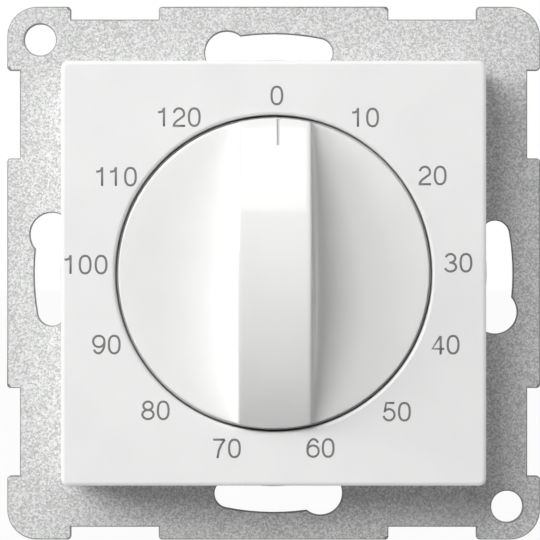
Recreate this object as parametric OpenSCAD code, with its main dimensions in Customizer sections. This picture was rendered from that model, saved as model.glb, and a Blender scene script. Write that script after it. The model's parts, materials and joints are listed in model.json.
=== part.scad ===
// Flush-mounted 120 minute clockwork timer light switch.
// Everything is modelled flat, with the knob's axis along +Z towards the viewer and Z = 0 on the wall,
// then turned upright, so that the finished switch faces -Y and its housing runs into the wall along +Y.

/* [Support ring] */
// Side of the square support ring
ring_w = 71; // [69:0.5:80]
// Thickness of the ring's steel sheet
ring_t = 1.2; // [1:0.1:1.6]
// Corner radius of the ring
ring_corner_r = 4; // [2:0.5:6]
// Distance between opposite box screws
box_screw_pitch = 60; // [59.5:0.1:61]
// Width of the curved screw slots
slot_w = 3.8; // [3.3:0.1:4.2]
// Diameter of the slots' entry holes, which pass a screw head
keyhole_d = 5.8; // [5:0.1:6.4]
// Angle that the top and bottom slots sweep
slot_sweep_tall = 23.5; // [18:0.5:26]
// Angle that the left and right slots sweep
slot_sweep_side = 19.7; // [16:0.1:24]
// Diameter of the two corner holes
corner_hole_d = 4.2; // [3.2:0.1:5]
// Distance of the corner holes from the ring's edges
corner_hole_inset = 4.4; // [3.5:0.1:6]
// Depth of the edge notches
notch_depth = 1.7; // [1:0.1:2]
// Distance of each edge notch from the middle of its side
notch_start = 15.3; // [12:0.1:18]
// Length of each edge notch
notch_length = 11.7; // [8:0.1:12.5]
// Diameter of the ring's middle opening
ring_opening_d = 46; // [45.8:0.1:47]

/* [Cover plate] */
// Side of the square cover plate
cover_w = 55; // [54:0.5:60]
// Corner radius of the cover plate
cover_corner_r = 0.9; // [0.6:0.1:3]
// Height of the cover's face above the front of the ring
cover_rise = 10; // [9.6:0.1:13]
// Thickness of the cover's face
cover_face_t = 1.8; // [1.4:0.1:2.2]
// Thickness of the cover's skirt
cover_skirt_t = 1.6; // [1.2:0.1:2]
// Wall of the round collar under the cover's opening
cover_collar_t = 1.2; // [1:0.1:1.3]

/* [Knob] */
// Diameter of the knob's disc
knob_d = 40.2; // [39.6:0.1:40.6]
// Gap between the knob and the cover all round
knob_gap = 0.3; // [0.3:0.05:0.6]
// Thickness of the knob's disc
knob_disc_t = 1.8; // [1.4:0.1:2.2]
// Depth of the knob's rim below the cover's face
knob_rim_depth = 4.4; // [3.5:0.1:4.8]
// Wall of the knob's rim
knob_rim_t = 1.8; // [1.2:0.1:2.5]
// Width of the grip bar at its top
grip_w = 9.4; // [7:0.1:12]
// Height of the middle of the grip bar above the cover's face
grip_rise = 7.4; // [6:0.1:9]
// Height of the ends of the grip bar above the cover's face
grip_end_rise = 2; // [1:0.1:3]
// Width of the hollow flank on each side of the grip bar
grip_flank_w = 10.3; // [7:0.1:11]
// Outer diameter of the hub that takes the spindle
knob_hub_d = 10; // [9:0.1:12]
// Angle that the knob turns, from 0 to 120 minutes
knob_travel = 328; // [300:1:330]

/* [Housing] */
// Thickness of the front housing's flange
flange_t = 2; // [1.6:0.1:2.6]
// Depth of the seat that the ring's back has for the flange
flange_seat = 0.3; // [0.2:0.05:0.4]
// Wall of the rear housing
tub_wall = 1.8; // [1.4:0.1:2]
// Floor of the rear housing
tub_floor = 1.6; // [1.2:0.1:2.4]
// Radial room between the clockwork and the rear housing
tub_room = 0.6; // [0.4:0.1:0.9]
// Wall of the round collar on the front housing
housing_collar_t = 1.1; // [0.9:0.1:1.2]
// Diameter of the housing screws
housing_screw_d = 1.9; // [1.6:0.1:2.2]
// Length of the housing screws
housing_screw_l = 10; // [8:0.5:14]
// Number of ribs down the outside of the tub
tub_ribs = 16; // [8:4:24]
// How far the tub's ribs stand proud
tub_rib_h = 0.6; // [0.3:0.1:0.9]
// Width of the tub's ribs
tub_rib_w = 1.2; // [0.8:0.1:1.8]
// Diameter of the wire openings in the tub's floor
wire_way_d = 6.2; // [5.8:0.1:6.4]

/* [Clockwork] */
// Thickness of the movement plates
plate_t = 1; // [0.8:0.1:1.2]
// Room between the movement plates
plate_room = 10; // [9.9:0.1:12]
// Radius of the movement plates
plate_r = 23.2; // [23.1:0.1:23.5]
// Diameter of the knob's spindle
spindle_d = 5; // [4:0.1:5.4]
// Running clearance of every shaft in its hole, on the radius
running_gap = 0.05; // [0.03:0.01:0.08]
// Teeth of each wheel
wheel_teeth = 60; // [60:12:60]
// Leaves of each pinion
pinion_leaves = 10; // [10:1:10]
// Module of the great wheel
great_module = 0.35; // [0.345:0.005:0.36]
// Module of the second wheel
second_module = 0.3; // [0.28:0.005:0.305]
// Module of the third wheel
third_module = 0.25; // [0.23:0.005:0.25]
// Module of the fourth wheel
fourth_module = 0.2; // [0.18:0.005:0.21]
// Thickness of the train's wheels
wheel_t = 0.8; // [0.6:0.05:0.9]
// Thickness of the great wheel
great_wheel_t = 1; // [0.8:0.05:1.1]
// Diameter of the train's arbors
arbor_d = 1.5; // [1.2:0.1:1.8]
// Diameter of the arbors' pivots
pivot_d = 0.8; // [0.6:0.05:1]
// Outer radius of the wound mainspring
mainspring_r = 7.8; // [7.4:0.1:7.9]
// Thickness of the mainspring's strip
mainspring_t = 0.25; // [0.15:0.01:0.3]
// Width of the mainspring's strip
mainspring_w = 4.2; // [3.5:0.1:4.3]
// Turns of the mainspring
mainspring_turns = 7; // [5:1:8]
// Tip radius of the escape wheel
escape_r = 4.2; // [3.8:0.1:4.3]
// Teeth of the escape wheel
escape_teeth = 12; // [12:1:12]
// Outer radius of the anchor's weight
weight_r = 4.4; // [3.6:0.1:4.5]

/* [Switch] */
// Radius of the cam disc
cam_r = 8.5; // [8:0.1:8.8]
// Depth of the cam's notch, which lets the contact open at 0
cam_notch = 1.3; // [1:0.1:1.4]
// Thickness of the cam disc
cam_t = 2; // [1.6:0.1:2.4]
// Thickness of the contact blade
blade_t = 0.3; // [0.2:0.05:0.4]
// Width of the contact blade
blade_w = 3.4; // [2.8:0.1:3.6]
// Gap between the contacts at 0
contact_gap = 0.8; // [0.6:0.05:1]
// Diameter of the contacts
contact_d = 2.6; // [2:0.1:3]
// Thickness of the brass bars
bar_t = 0.8; // [0.6:0.05:1]
// Width of each terminal block
terminal_w = 7; // [6:0.1:7.4]
// Length of each terminal block, along the wire
terminal_l = 8; // [7:0.1:8.5]
// Distance of each terminal's wire from the middle
terminal_offset = 8; // [7.8:0.1:8.2]
// Diameter of the hole for the wire
wire_hole_d = 3.4; // [2.8:0.1:3.6]
// Diameter of the terminal screws
terminal_screw_d = 3; // [2.5:0.1:3.2]
// Thickness of the contact carrier's tray
carrier_t = 1.6; // [1.2:0.1:2]

/* [Hidden] */
$fn = 64;

// Small amounts used throughout
cut = 1;              // how far a cutter reaches past a face
seat_gap = 0.03;      // gap of a fixed pin, screw or ring in its hole
axial_gap = 0.1;      // end play of a turning piece
lap = 0.01;           // how far one stretch of a piece reaches into the next
collet_wall = 0.8;    // wall of the collets on the train's thicker arbors

// Levels, from the wall plane outwards
ring_front = ring_t;
cover_face = ring_front + cover_rise;
cover_under = cover_face - cover_face_t;
knob_under = cover_face - knob_disc_t;
knob_bottom = cover_face - knob_rim_depth;
grip_top = cover_face + grip_rise;
grip_end = cover_face + grip_end_rise;
flange_top = flange_seat;
flange_under = flange_top - flange_t;

// Levels, from the flange inwards, with the room between one layer of wheels and the next
plate_gap = 0.9;
third_gap = 1.1;
fourth_gap = 1;
escape_gap = 1.1;
great_gap = 1;
spring_lift = 0.4;
hub_lip = 0.2;
plate_under = flange_under - plate_t;
back_plate_top = plate_under - plate_room;
back_plate_under = back_plate_top - plate_t;
second_level = plate_under - plate_gap - wheel_t;
third_level = second_level - third_gap - wheel_t;
fourth_level = third_level - fourth_gap - wheel_t;
escape_level = fourth_level - escape_gap - wheel_t;
great_level = back_plate_top + great_gap;
pinion_overlap = 0.2;
spring_top = third_level + wheel_t + spring_lift;
hub_top = spring_top + hub_lip;
hub_under = spring_top - mainspring_w - hub_lip;
great_top = great_level + great_wheel_t;
great_hub_top = great_top + hub_lip;

// Knob and the pieces round it
knob_r = knob_d / 2;
opening_r = knob_r + knob_gap;
cover_collar_r = opening_r + cover_collar_t;
collar_gap = 0.1;
housing_collar_r = cover_collar_r + collar_gap;
housing_collar_outer_r = housing_collar_r + housing_collar_t;
housing_collar_top = cover_under - 0.4;
neck_gap = 0.2;
neck_r = ring_opening_d / 2 - neck_gap;
neck_shelf_t = 0.8;
neck_top = ring_front + neck_shelf_t;
snap_level = ring_front + 2.2;
snap_h = 1;
snap_w = 4.6;
snap_reach = 0.7;
snap_root = 0.2;
snap_play = 0.1;
snap_room = 0.3;
grip_sag = grip_top - grip_end;
grip_arc_r = (knob_r * knob_r + grip_sag * grip_sag) / (2 * grip_sag);
grip_arc_z = grip_top - grip_arc_r;
flank_steps = 14;
index_w = 0.3;
index_l = 3.5;
index_depth = 0.25;

// Knob stop: a rib under the disc and a post on the housing share the angle that is left over
stop_r = 11;
stop_wall = 2.4;
stop_play = 2;
stop_angle = (360 - knob_travel) / 2 - stop_play;
stop_rest = 90;
stop_lift = 0.4;
stop_end_gap = 0.8;
post_rest = stop_rest + stop_angle + stop_play;

// Spindle
spindle_r = spindle_d / 2;
spindle_in_grip = 5;
spindle_top = knob_under + spindle_in_grip;
spindle_flat = spindle_r * 0.72;
flat_lead = 0.2;
bush_wall = 1.1;
bush_r = spindle_r + bush_wall;
bush_top = knob_bottom - 0.5;
bush_rim_t = 0.6;
bush_rim_w = 1;
bush_boss_w = 2;
hub_r = spindle_r + 1;
clip_t = 0.5;
clip_w = spindle_d * 0.35;
clip_lead = 0.6;
clip_end = 0.4;
clutch_reach = 2;
clutch_strip = 0.25;
clutch_ring_w = 1.5;
clutch_ring_t = 0.5;

// Toothed wheels
rim_w = 1;
spoke_w = 0.7;
crossing_gap = 0.2;
great_crossing_gap = 0.3;
great_boss_r = spindle_r + 2;
pressure_angle = 25;
addendum = 0.8;
dedendum = 1.05;
backlash = 0.16;
ratio_sum = (wheel_teeth + pinion_leaves) / 2;
second_distance = great_module * ratio_sum;
third_step = second_module * ratio_sum;
fourth_step = third_module * ratio_sum;
escape_step = fourth_module * ratio_sum;
third_tip_r = third_module * (wheel_teeth / 2 + addendum);
fourth_tip_r = fourth_module * (wheel_teeth / 2 + addendum);
third_room = 0.3;
fourth_room = 0.4;
escape_outward = 2.6;
anchor_outward = 1;
third_distance = mainspring_r + third_room + third_tip_r;
fourth_distance = mainspring_r + fourth_room + fourth_tip_r;
escape_distance = fourth_distance + escape_outward;
anchor_distance = escape_distance + anchor_outward;

// Bearings of the arbors round the spindle, each set by the distance to the one before
second_bearing = 150;
third_bearing = second_bearing - corner_angle(second_distance, third_distance, third_step);
fourth_bearing = third_bearing - corner_angle(third_distance, fourth_distance, fourth_step);
escape_bearing = fourth_bearing - corner_angle(fourth_distance, escape_distance, escape_step);
pallet_span = 37.5;
pin_r = 0.22;
pin_gap = 0.08;
pin_orbit = escape_r + pin_r + pin_gap;
pin_boss_r = 0.5;
anchor_room = 0.1;
anchor_step = escape_r / cos(pallet_span) + anchor_room;
anchor_bearing = escape_bearing - corner_angle(escape_distance, anchor_distance, anchor_step);
second_place = polar(second_distance, second_bearing);
third_place = polar(third_distance, third_bearing);
fourth_place = polar(fourth_distance, fourth_bearing);
escape_place = polar(escape_distance, escape_bearing);
anchor_place = polar(anchor_distance, anchor_bearing);

// Phases that put each pinion in mesh with the wheel before it
second_phase = mesh_phase(second_bearing);
third_phase = mesh_phase(line_angle(second_place, third_place));
fourth_phase = mesh_phase(line_angle(third_place, fourth_place));
escape_phase = mesh_phase(line_angle(fourth_place, escape_place));
anchor_line = line_angle(escape_place, anchor_place);

// Escape wheel and anchor; the lever lies over the wheel and its pins reach down between the teeth
tooth_root_angle = 8;
tooth_tip_angle = 1.2;
escape_collet_wall = 0.6;
escape_collet_h = 0.4;
lever_t = 0.5;
lever_w = 0.8;
lever_gap = 0.2;
lever_level = escape_level + wheel_t + lever_gap;
pin_reach = 0.2;
pallet_places = [for (side = [-1, 1]) escape_place + polar(pin_orbit, anchor_line + side * pallet_span)];
weight_t = 1.6;
weight_rim_w = 1.2;
weight_bar_w = 1;

// Pillars stand clear of the wheels; the first stands between the second and third wheels
pillar_r = 1.3;
plate_margin = 1.4;
pillar_orbit = plate_r - plate_margin;
pillar_bearings = [third_bearing + 0.55 * (second_bearing - third_bearing), 225, 290, 355];
screw_r = 0.8;
screw_head_r = 1.35;
screw_head_t = 0.8;
screw_l = 4;
screw_end_room = 0.5;
head_room = 0.1;
post_bearing = 300;
post_r = 0.6;
post_gap = 0.15;
post_orbit = mainspring_r + post_gap + post_r;
light_arbor_r = 0.5;
light_pivot_r = 0.3;
// Windows that lighten the movement plates: distance and bearing from the spindle, and radius
plate_windows = [[12.5, 258, 4.2], [13.5, 322, 4], [12, 205, 3]];

// Switch levels, behind the back plate
cam_gap = 1.7;
cam_boss_w = 1.4;
cam_top = back_plate_under - cam_gap;
cam_under = cam_top - cam_t;
cam_ring_t = 0.5;
cam_ring_w = 1.2;
spindle_tail = 0.8;
spindle_end = cam_under - cam_ring_t - spindle_tail;
blade_top = cam_top + (blade_w - cam_t) / 2;
blade_under = blade_top - blade_w;
blade_mid = (blade_top + blade_under) / 2;
bar_drop = 2.3;
bar_under = blade_under - bar_drop;
terminal_lap = 1;
terminal_top = blade_under + terminal_lap;
terminal_under = terminal_top - terminal_l;
carrier_under = terminal_under - carrier_t;
tub_under = carrier_under - tub_floor;

// Switch places in the plane of the cam
blade_gap = 1.5;
blade_y = -cam_r - blade_gap;
nose_gap = 0.3;
nose_y = -(cam_r - cam_notch) - nose_gap;
nose_w = 2.8;
bend_in = blade_t * 0.4;
bend_up = blade_t * 1.6;
notch_angle = 16;
notch_flare = 6;
contact_x = 5;
contact_t = 0.6;
moving_face = blade_y - blade_t - contact_t;
fixed_face = moving_face - contact_gap;
fixed_contact_t = 1;
load_bar_top = fixed_face - fixed_contact_t;
terminal_front = load_bar_top - bar_t;
terminal_back = terminal_front - terminal_w;
bar_outer_x = terminal_offset + terminal_w / 2;
shelf_l = 3.5;
rivet_r = 0.6;
rivet_head_w = 0.5;
rivet_head_t = 0.4;
rivet_x = (shelf_l + bar_t) / 2 - bar_outer_x;
contact_tail = 0.2;
blade_end = 0.3;
bar_end = 0.6;
wire_wall = 0.6;
wire_end_wall = 1.3;
wire_y = terminal_front - wire_hole_d / 2 - wire_wall;
wire_depth = terminal_l - wire_end_wall;
terminal_screw_z = terminal_under + terminal_l * 0.45;
terminal_screw_out = 0.4;
terminal_screw_tip = 0.3;
terminal_slot_w = 0.5;
terminal_slot_depth = 0.6;
access_room = 0.7;
access_d = terminal_screw_d + 2 * access_room;
barrier_gap = 0.5;
barrier_w = 2 * (terminal_offset - terminal_w / 2 - barrier_gap);
barrier_back = 0.6;
tray_margin = 1;
tray_front = 2;
tray_gap = 0.2;

// Housing
movement_reach = max(plate_r, third_distance + third_tip_r, anchor_distance + weight_r,
                     norm([bar_outer_x, terminal_back]));
tub_r = movement_reach + tub_room;
tub_outer_r = tub_r + tub_wall;
lug_r = 2;
lug_outward = 0.4;
lug_orbit = tub_outer_r + lug_outward;
lug_end_t = 1;
lug_l = housing_screw_l + lug_end_t;
flange_margin = 0.15;
flange_seat_gap = 0.15;
flange_r = lug_orbit + lug_r + flange_margin;
flange_seat_r = flange_r + flange_seat_gap;
housing_head_t = 1.1;
housing_screw_end = 1;
lug_bearings = [45, 135, 225, 315];
tub_step_h = 0.8;
tub_step_w = 1;

// Point at a distance and a bearing from the spindle
function polar(distance, bearing) = [distance * cos(bearing), distance * sin(bearing)];
// Angle at the spindle between two arbors at known distances, whose own distance is far
function corner_angle(near_a, near_b, far) =
    acos((near_a * near_a + near_b * near_b - far * far) / (2 * near_a * near_b));
// Direction of the line from one place to another
function line_angle(from, to) = atan2(to[1] - from[1], to[0] - from[0]);
// Turn of a pinion that meshes with a wheel whose first tooth points along +X
function mesh_phase(line) =
    line + 180 - (0.5 - line * wheel_teeth / 360) * 360 / pinion_leaves;
// Angle between the start of an involute and the radius, in degrees
function involute(base_r, r) =
    r <= base_r ? 0 : let (roll = acos(base_r / r)) tan(roll) * 180 / PI - roll;
// Radii at which one flank of a tooth has its points
function flank_radii(teeth, mod) =
    let (pitch_r = teeth * mod / 2, base_r = pitch_r * cos(pressure_angle),
         root_r = pitch_r - dedendum * mod, tip_r = pitch_r + addendum * mod)
    base_r > root_r ? [root_r, base_r, (base_r + tip_r) / 2, tip_r] : [root_r, pitch_r, tip_r];
// Half of a tooth's angle at a radius
function half_tooth(teeth, mod, r) =
    let (pitch_r = teeth * mod / 2, base_r = pitch_r * cos(pressure_angle))
    90 / teeth - backlash * mod / pitch_r * 90 / PI
        + involute(base_r, pitch_r) - involute(base_r, r);
// Outline of a gear with involute teeth
function gear_points(teeth, mod) =
    let (radii = flank_radii(teeth, mod), last = len(radii) - 1)
    [for (tooth = [0 : teeth - 1]) for (side = [-1, 1]) for (step = [0 : last])
        let (r = radii[side < 0 ? step : last - step])
        polar(r, tooth * 360 / teeth + side * half_tooth(teeth, mod, r))];

module upright() { rotate([90, 0, 0]) children(); }
// A solid between two levels
module between(low, high) { translate([0, 0, low]) linear_extrude(high - low) children(); }
module disc(r, low, high) { translate([0, 0, low]) cylinder(r = r, h = high - low); }
module tube(outer_r, inner_r, low, high) {
    difference() {
        disc(outer_r, low, high);
        disc(inner_r, low - cut, high + cut);
    }
}
module at(place) { translate([place[0], place[1], 0]) children(); }
// A square plate with round corners
module rounded_plate(side, corner_r, low, high) {
    straight = side - 2 * corner_r;
    translate([-side / 2, -straight / 2, low]) cube([side, straight, high - low]);
    translate([-straight / 2, -side / 2, low]) cube([straight, side, high - low]);
    for (x = [-1, 1], y = [-1, 1])
        translate([x * straight / 2, y * straight / 2, 0]) disc(corner_r, low, high);
}
// A ring sector with flat ends
module sector(inner_r, outer_r, from_angle, sweep, low, high) {
    rotate([0, 0, from_angle]) rotate_extrude(angle = sweep)
        translate([inner_r, low]) square([outer_r - inner_r, high - low]);
}

// One curved screw slot: a round entry hole, a curved slot and its round end
module keyhole_slot(entry_angle, sweep) {
    orbit = box_screw_pitch / 2;
    low = -cut;
    high = ring_t + cut;
    at(polar(orbit, entry_angle)) disc(keyhole_d / 2, low, high);
    at(polar(orbit, entry_angle + sweep)) disc(slot_w / 2, low, high);
    sector(orbit - slot_w / 2, orbit + slot_w / 2, min(entry_angle, entry_angle + sweep),
           abs(sweep), low, high);
}

module support_ring() {
    color([0.74, 0.75, 0.76]) upright() difference() {
        rounded_plate(ring_w, ring_corner_r, 0, ring_t);
        disc(ring_opening_d / 2, -cut, ring_t + cut);
        disc(flange_seat_r, -cut, flange_seat);
        for (turn = [0, 180]) rotate([0, 0, turn]) {
            keyhole_slot(102, -slot_sweep_tall);
            keyhole_slot(170.1, slot_sweep_side);
        }
        for (turn = [0, 90, 180, 270], side = [-1, 1]) rotate([0, 0, turn])
            translate([side * (notch_start + notch_length / 2), ring_w / 2, ring_t / 2])
                cube([notch_length, 2 * notch_depth, ring_t + 2 * cut], center = true);
        for (side = [-1, 1])
            at([side, -side] * (ring_w / 2 - corner_hole_inset))
                disc(corner_hole_d / 2, -cut, ring_t + cut);
        for (bearing = lug_bearings) at(polar(lug_orbit, bearing))
            disc(housing_screw_d / 2 + seat_gap, -cut, ring_t + cut);
    }
}

module cover_plate() {
    color([0.91, 0.92, 0.92]) upright() {
        difference() {
            rounded_plate(cover_w, cover_corner_r, ring_front, cover_face);
            rounded_plate(cover_w - 2 * cover_skirt_t, cover_corner_r / 2, ring_front - cut,
                          cover_under);
            disc(opening_r, cover_under - cut, cover_face + cut);
        }
        tube(cover_collar_r, opening_r, snap_level - snap_h, cover_under);
        for (turn = [0, 90, 180, 270])
            sector(cover_collar_r - snap_root, cover_collar_r + snap_reach,
                   turn - snap_w / cover_collar_r * 90 / PI,
                   snap_w / cover_collar_r * 180 / PI, snap_level, snap_level + snap_h);
    }
}

module front_housing() {
    window = snap_w + 2 * snap_room;
    color([0.86, 0.86, 0.84]) upright() difference() {
        union() {
            disc(flange_r, flange_under, flange_top);
            tube(neck_r, neck_r - housing_collar_t, flange_under, neck_top);
            tube(max(neck_r, housing_collar_outer_r), min(neck_r - housing_collar_t, housing_collar_r),
                 ring_front, neck_top);
            tube(housing_collar_outer_r, housing_collar_r, ring_front, housing_collar_top);
            disc(bush_r + bush_boss_w, flange_under, bush_top - bush_rim_t);
            sector(stop_r - stop_wall / 2, stop_r + stop_wall / 2, post_rest - stop_angle / 2,
                   stop_angle, flange_under, knob_under - stop_end_gap);
        }
        disc(bush_r + seat_gap, flange_under - cut, bush_top);
        for (turn = [0, 90, 180, 270])
            sector(housing_collar_r - cut, housing_collar_outer_r + cut,
                   turn - window / housing_collar_r * 90 / PI,
                   window / housing_collar_r * 180 / PI, snap_level - snap_play,
                   snap_level + snap_h + snap_play);
        for (bearing = lug_bearings) at(polar(lug_orbit, bearing))
            disc(housing_screw_d / 2 + seat_gap, flange_under - cut, flange_top + cut);
        for (bearing = pillar_bearings) at(polar(pillar_orbit, bearing)) {
            disc(screw_r + seat_gap, flange_under - cut, flange_top + cut);
            disc(screw_head_r + head_room, flange_top - screw_head_t, cover_under);
        }
    }
}

module rear_housing() {
    color([0.86, 0.86, 0.84]) upright() difference() {
        union() {
            disc(tub_outer_r, tub_under + tub_step_h, flange_under);
            disc(tub_outer_r - tub_step_w, tub_under, carrier_under);
            for (rib = [0 : tub_ribs - 1]) rotate([0, 0, (rib + 0.5) * 360 / tub_ribs])
                translate([tub_r + tub_wall / 2, -tub_rib_w / 2, tub_under + tub_step_h])
                    cube([tub_wall / 2 + tub_rib_h, tub_rib_w, flange_under - tub_under - tub_step_h]);
            for (bearing = lug_bearings) at(polar(lug_orbit, bearing))
                disc(lug_r, flange_under - lug_l, flange_under);
        }
        disc(tub_r, carrier_under, flange_under + cut);
        for (bearing = lug_bearings) at(polar(lug_orbit, bearing))
            disc(housing_screw_d / 2 + seat_gap, flange_under - housing_screw_l, flange_under + cut);
        for (side = [-1, 1]) {
            translate([side * terminal_offset, wire_y, 0])
                disc(wire_way_d / 2, tub_under - cut, carrier_under + cut);
            translate([side * terminal_offset, terminal_back, terminal_screw_z]) rotate([90, 0, 0])
                cylinder(d = access_d, h = tub_outer_r + tub_rib_h + terminal_back + cut);
        }
    }
}

// A screw with its head on top; the slot is cut across the head
module screw(shank_r, head_r, head_t, length) {
    difference() {
        union() {
            disc(shank_r, -length, lap);
            disc(head_r, 0, head_t);
        }
        translate([-head_r - cut, -head_r * 0.15, head_t * 0.5])
            cube([2 * (head_r + cut), head_r * 0.3, head_t]);
    }
}

module housing_screws() {
    color([0.8, 0.8, 0.8]) upright() for (bearing = lug_bearings)
        at(polar(lug_orbit, bearing)) translate([0, 0, ring_front]) rotate([0, 0, bearing])
            screw(housing_screw_d / 2, housing_screw_d * 0.9, housing_head_t,
                  housing_screw_l + ring_front - flange_under - housing_screw_end);
}

module spindle_bush() {
    color("goldenrod") upright() {
        tube(bush_r, spindle_r + running_gap, flange_under, bush_top - bush_rim_t);
        tube(bush_r + bush_rim_w, spindle_r + running_gap, bush_top - bush_rim_t, bush_top);
    }
}

// Half of the grip bar's outline: its distance from the arc's centre, along the width of the knob
function grip_profile() =
    let (half = grip_w / 2, floor_r = cover_face - grip_arc_z, rise = grip_top - cover_face)
    concat([[0, 0], [grip_arc_r, 0], [grip_arc_r, half]],
           [for (step = [1 : flank_steps])
               let (turn = 90 * step / flank_steps)
               [floor_r + rise * (1 - sin(turn)), half + grip_flank_w * (1 - cos(turn))]],
           [[0, half + grip_flank_w]]);

module grip_bar() {
    intersection() {
        disc(knob_r, knob_under, grip_top + cut);
        translate([0, 0, grip_arc_z]) for (side = [0, 180]) rotate([0, 0, side])
            rotate([0, 90, 0]) rotate_extrude($fn = 96) polygon(grip_profile());
    }
}

module knob() {
    color([0.93, 0.93, 0.92]) upright() difference() {
        union() {
            disc(knob_r, knob_bottom, cover_face);
            grip_bar();
        }
        difference() {
            disc(knob_r - knob_rim_t, knob_bottom - cut, knob_under);
            disc(knob_hub_d / 2, knob_bottom, knob_under + cut);
            sector(stop_r - stop_wall / 2, stop_r + stop_wall / 2, stop_rest - stop_angle / 2,
                   stop_angle, knob_bottom + stop_lift, knob_under + cut);
        }
        spindle_hole();
        index_line();
    }
}

// The index line: a groove of even depth along the top end of the grip bar
module index_line() {
    difference() {
        translate([-index_w / 2, knob_r - index_l, grip_end - cut])
            cube([index_w, index_l + cut, grip_rise]);
        translate([-cut, 0, grip_arc_z]) rotate([0, 90, 0])
            cylinder(r = grip_arc_r - index_depth, h = 2 * cut, $fn = 96);
    }
}

// The hub's bore: round, with a flat and a pocket for the clip
module spindle_hole() {
    difference() {
        disc(spindle_r + seat_gap, knob_bottom - cut, spindle_top + seat_gap);
        translate([spindle_flat + seat_gap + clip_t + seat_gap, -spindle_r, knob_bottom - cut])
            cube([spindle_r, spindle_d, spindle_top]);
    }
}

module knob_clip() {
    low = knob_bottom + clip_lead;
    color([0.7, 0.7, 0.72]) upright() translate([spindle_flat + seat_gap, -clip_w / 2, low])
        cube([clip_t, clip_w, spindle_top - clip_end - low]);
}

module spindle() {
    color([0.72, 0.72, 0.74]) upright() difference() {
        union() {
            disc(spindle_r, spindle_end, spindle_top);
            disc(hub_r, hub_under, hub_top);
        }
        translate([spindle_flat, -spindle_d, knob_bottom - flat_lead])
            cube([spindle_d, 2 * spindle_d, spindle_top]);
    }
}

module clutch_spring() {
    high = hub_under - axial_gap;
    low = great_hub_top + axial_gap;
    color([0.6, 0.62, 0.66]) upright() rotate_extrude() polygon([
        [spindle_r + running_gap, high - clutch_strip], [spindle_r + running_gap, high],
        [spindle_r + clutch_reach, low + clutch_strip], [spindle_r + clutch_reach, low]]);
}

module clutch_ring() {
    color([0.55, 0.56, 0.6]) upright()
        tube(spindle_r + clutch_ring_w, spindle_r + seat_gap,
             great_level - axial_gap - clutch_ring_t, great_level - axial_gap);
}

module cam_disc() {
    color([0.25, 0.3, 0.45]) upright() difference() {
        union() {
            disc(cam_r, cam_under, cam_top);
            disc(spindle_r + cam_boss_w, cam_top, back_plate_under - 2 * axial_gap);
        }
        disc(spindle_r + seat_gap, cam_under - cut, back_plate_under);
        between(cam_under - cut, cam_top + cut) polygon([
            polar(cam_r + cut, 270 - notch_angle - notch_flare),
            polar(cam_r - cam_notch, 270 - notch_angle), [0, -(cam_r - cam_notch)],
            polar(cam_r - cam_notch, 270 + notch_angle),
            polar(cam_r + cut, 270 + notch_angle + notch_flare)]);
    }
}

module cam_ring() {
    color([0.55, 0.56, 0.6]) upright()
        tube(spindle_r + cam_ring_w, spindle_r + seat_gap, cam_under - cam_ring_t, cam_under);
}

// A movement plate, drilled for the spindle, the arbors and the pillar screws
module movement_plate(low, high) {
    difference() {
        disc(plate_r, low, high);
        disc(spindle_r + running_gap, low - cut, high + cut);
        for (place = [second_place, third_place, fourth_place])
            at(place) disc(pivot_d / 2 + running_gap, low - cut, high + cut);
        for (place = [escape_place, anchor_place])
            at(place) disc(light_pivot_r + running_gap, low - cut, high + cut);
        for (bearing = pillar_bearings)
            at(polar(pillar_orbit, bearing)) disc(screw_r + seat_gap, low - cut, high + cut);
        for (window = plate_windows)
            at(polar(window[0], window[1])) disc(window[2], low - cut, high + cut);
    }
}

module front_plate() { color([0.78, 0.66, 0.36]) upright() movement_plate(plate_under, flange_under); }
module back_plate() { color([0.78, 0.66, 0.36]) upright() movement_plate(back_plate_under, back_plate_top); }

module pillars() {
    color([0.72, 0.72, 0.74]) upright() for (bearing = pillar_bearings)
        at(polar(pillar_orbit, bearing)) difference() {
            disc(pillar_r, back_plate_top, plate_under);
            disc(screw_r + seat_gap, flange_under - screw_l - screw_end_room, plate_under + cut);
            disc(screw_r + seat_gap, back_plate_top - cut, back_plate_under + screw_l + screw_end_room);
        }
}

module front_screws() {
    color([0.8, 0.8, 0.8]) upright() for (bearing = pillar_bearings)
        at(polar(pillar_orbit, bearing)) translate([0, 0, flange_top - screw_head_t])
            screw(screw_r, screw_head_r, screw_head_t, screw_l + flange_t - screw_head_t);
}

module back_screws() {
    color([0.8, 0.8, 0.8]) upright() for (bearing = pillar_bearings)
        at(polar(pillar_orbit, bearing)) translate([0, 0, back_plate_under]) rotate([180, 0, 0])
            screw(screw_r, screw_head_r, screw_head_t, screw_l);
}

module spring_post() {
    color([0.72, 0.72, 0.74]) upright() at(polar(post_orbit, post_bearing))
        disc(post_r, hub_under, plate_under);
}

// The mainspring's strip, wound from the hub out to the post
module mainspring() {
    inner = hub_r + post_gap;
    steps = mainspring_turns * 36;
    sweep = mainspring_turns * 360;
    outer = mainspring_r - mainspring_t;
    function strip(step, extra) =
        polar(inner + (outer - inner) * step / steps + extra,
              post_bearing - sweep + sweep * step / steps);
    color([0.35, 0.4, 0.5]) upright() between(spring_top - mainspring_w, spring_top)
        polygon(concat([for (step = [0 : steps]) strip(step, 0)],
                       [for (step = [steps : -1 : 0]) strip(step, mainspring_t)]));
}

module gear(teeth, mod, phase, low, high) {
    rotate([0, 0, phase]) between(low, high) polygon(gear_points(teeth, mod));
}

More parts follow.
